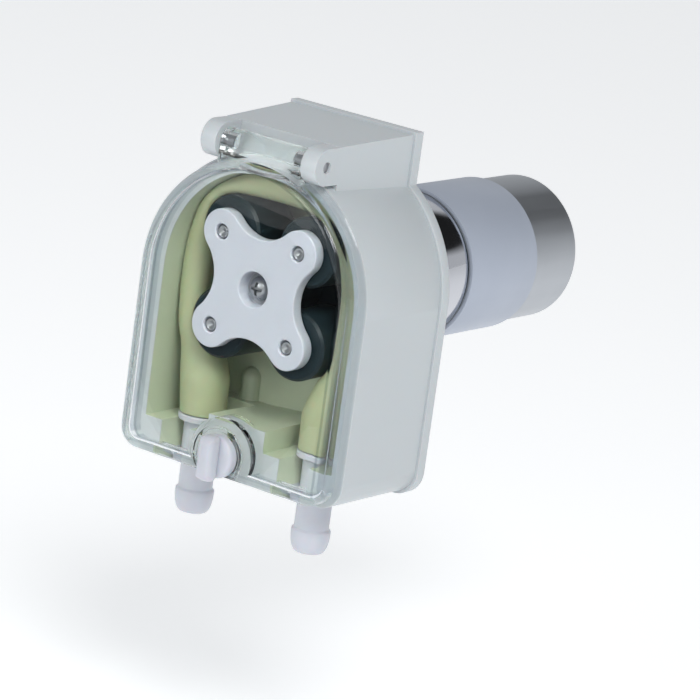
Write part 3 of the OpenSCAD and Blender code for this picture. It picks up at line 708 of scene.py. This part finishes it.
def make_knob():
    """Round base, a wing with soft corners, and the stem with its groove and cross hole."""
    front, back = COVER_LOW.y, COVER_HIGH.y
    knob = lathe("Y", "thumb_knob", [
        (3.4, front - 1.6), (4.1, front - 1.5), (4.6, front - 1.25), (4.9, front - 0.85),
        (KNOB_R, front - 0.4), (KNOB_R, front + 0.8), (4.8, front + 1), (STEM_R, front + 1),
        (STEM_R, back - 1), (1.9, back - 1), (1.9, back - 0.3), (STEM_R, back - 0.3),
        (STEM_R, STEM_END - 0.3), (STEM_R - 0.3, STEM_END)], LATCH_AXIS)
    wing = block("wing", (-2, front - 5.4, LATCH_Z - 5.6), (2, front - 1, LATCH_Z + 5.6), 1.6)
    limit = lathe("Y", "limit", [
        (3.2, front - 5.4), (4.2, front - 5.1), (4.9, front - 4.5), (5.3, front - 3.7), (5.4, front - 2.8),
        (5.2, front - 1.8), (4.8, front - 0.8)], LATCH_AXIS)
    carve(wing, [("INTERSECT", limit)])
    hole = lathe("Z", "hole", [(CROSS_HOLE_R, LATCH_Z - 4.4), (CROSS_HOLE_R, LATCH_Z + 4.4)],
                 (0.0, CROSS_HOLE_Y), 32)
    carve(knob, [("UNION", wing), ("DIFFERENCE", hole)])
    finish_piece(knob, "latch", "latch_knob")


def make_fitting(side, x):
    """Barb below, neck through the pocket's floor, collar, and spigot inside the pump tube."""
    tip, base = BARB_TIP, POCKET_FLOOR
    barb = [(2.5, tip), (3.0, tip), (3.25, tip + 0.08), (3.5, tip + 0.3), (3.8, tip + 0.75),
            (4.05, tip + 1.3), (4.28, tip + 2.1), (4.42, tip + 3), (4.5, tip + 3.8), (4.5, tip + 5.2),
            (4.4, tip + 5.4), (4.05, tip + 5.75), (4, tip + 5.9)]
    collar = [(4, base), (5.4, base), (5.6, base + 0.2), (5.6, base + 1.2), (5.3, base + 1.5),
              (3.85, base + 1.5)]
    spigot = [(3.85, -28.8), (3.0, -26.6), (2.8, -26.4), (2.35, -26.4), (BORE_R, -26.6), (BORE_R, tip + 0.3)]
    fitting = lathe("Z", side + "_hose_barb", barb + collar + spigot, (x, TUBE_Y), 72, True)
    finish_piece(fitting, "casing", side + "_fitting")


def make_roller_pin(number):
    """A pin with a drilled centre, narrowed where it meets the rotor's face."""
    a = math.radians(45 + 90 * (number - 1))
    f = ROTOR_FRONT
    pin = lathe("Y", "drilled_pin_%d" % number, [
        (0.04, f + 1.3), (0.75, f + 0.55), (1.0, f + 0.4), (1.2, f + 0.35), (1.38, f + 0.45),
        (1.48, f + 0.6), (1.5, f + 0.8), (1.5, f + 1.6), (PIN_R, f + 1.75), (PIN_R, PIN_END),
        (PIN_R - 0.2, PIN_END + 0.2)], (PIN_CIRCLE * math.cos(a), PIN_CIRCLE * math.sin(a)), 48)
    finish_piece(pin, "rotor", "roller_pin_%d" % number)


def make_rotor_screw():
    """A domed head with a cross recess."""
    screw = lathe("Y", "domed_screw", [
        (0.05, -30), (0.7, -29.96), (1.3, -29.8), (1.8, -29.5), (2.2, -29.1), (2.55, -28.65),
        (2.72, -28.3), (2.72, -28.1), (2.6, -28), (SCREW_R, -28), (SCREW_R, SCREW_END - 0.3),
        (SCREW_R - 0.3, SCREW_END)], steps=64)
    steps = []
    for x, z in ((1.5, 0.32), (0.32, 1.5)):
        steps.append(("DIFFERENCE", block("slot", (-x, -31, -z), (x, -28.8, z), 0.08)))
    carve(screw, steps)
    finish_piece(screw, "rotor", "rotor_screw")


# ---------- turned metal ----------

TURNED_INSET = 0.05
SMALL_EDGE = [(0.12, 0.0), (0.03, 0.04), (0.0, 0.13)]
CAN_EDGE = [(0, 0.9), (0.15, 0.65), (0.45, 0.35), (0.85, 0.03)]


def turn_smooth(node, name, rear_edge):
    """The CAD solid, turned outside in fine steps. An edge is (inset, distance) points from its end."""
    low, high = (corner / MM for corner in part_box(node))
    r = high.x - TURNED_INSET
    shape = bmesh.new()
    shape.from_mesh(NODES[node].data)
    bmesh.ops.transform(shape, matrix=NODES[node].matrix_world, verts=shape.verts)
    bmesh.ops.remove_doubles(shape, verts=shape.verts, dist=WELD * MM)
    bmesh.ops.dissolve_limit(shape, angle_limit=FLAT_ANGLE, verts=shape.verts, edges=shape.edges)
    mesh = bpy.data.meshes.new(name)
    shape.to_mesh(mesh)
    shape.free()
    piece = bpy.data.objects.new(name, mesh)
    bpy.context.scene.collection.objects.link(piece)
    limit = lathe("Y", "limit", [(r - inset, low.y + along) for inset, along in SMALL_EDGE]
                  + [(r - inset, high.y - along) for inset, along in rear_edge], steps=256)
    carve(piece, [("INTERSECT", limit)])
    finish_piece(piece, "casing", node, 25)


# ---------- the object ----------

ROUNDED = {"casing": 0.5, "back_plate": 0.35, "rotor_front_plate": 0.35, "rotor_back_plate": 0.3}

make_camera()
MATERIALS = make_materials()
SLOT_OF = {s["node"]: s["material_slot"] for s in frame["record"]["subparts"]}
for node_name, node_object in NODES.items():
    dress(node_object, MATERIALS[SLOT_OF[node_name]])
make_tube()
make_cover()
make_knob()
make_fitting("left", -FITTING_X)
make_fitting("right", FITTING_X)
for pin_number in (1, 2, 3, 4):
    make_roller_pin(pin_number)
make_rotor_screw()
turn_smooth("gearbox_housing", "turned_gearbox", SMALL_EDGE[::-1])
turn_smooth("flux_ring", "turned_flux_ring", SMALL_EDGE[::-1])
turn_smooth("motor_can", "turned_can", CAN_EDGE)
for node_name, width in ROUNDED.items():
    soften_edges(NODES[node_name], width)
make_studio()
